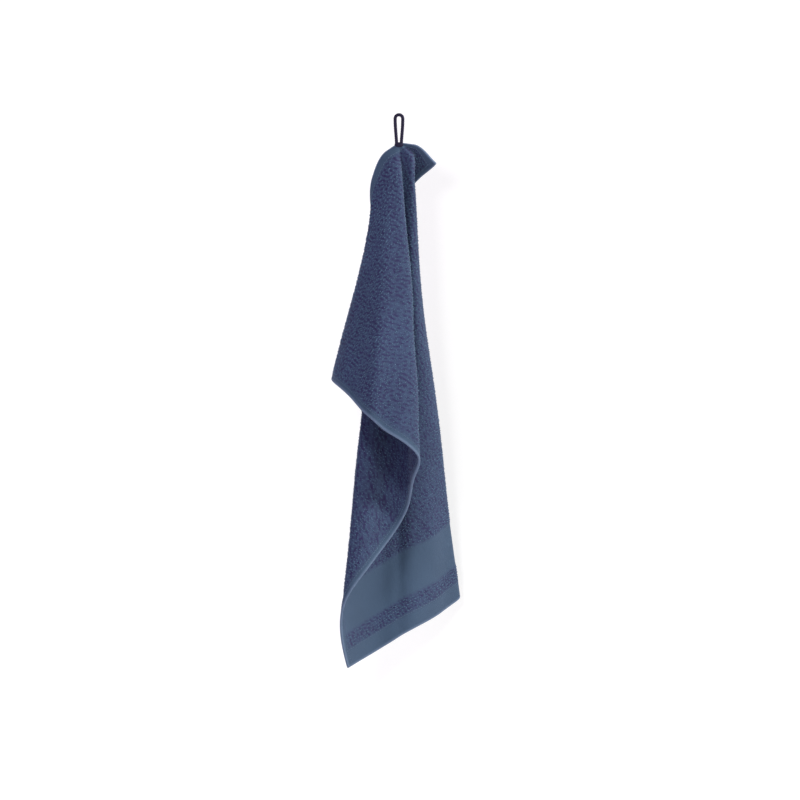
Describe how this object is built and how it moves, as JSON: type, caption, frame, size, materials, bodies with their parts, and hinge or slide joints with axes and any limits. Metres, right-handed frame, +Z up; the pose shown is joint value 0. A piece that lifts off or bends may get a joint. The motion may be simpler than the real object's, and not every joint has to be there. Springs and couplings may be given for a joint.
{
  "type": "hand towel",
  "caption": "Terry hand towel with a flat woven border, hanging in a cone of folds from a cord loop sewn near one corner.",
  "frame": {"origin": "the hang point: the inside of the hanging loop's top, where a hook carries it", "axes": "+Z up, -Y towards the viewer of the front layers, +X to the viewer's right"},
  "size_m": [0.1378, 0.1897, 0.59],
  "materials": {
    "terry_cloth": "matt pile",
    "loop_cord": "matt braid"
  },
  "bodies": {
    "root": {"towel_cloth": "terry_cloth", "hanging_loop": "loop_cord"}
  },
  "joints": []
}
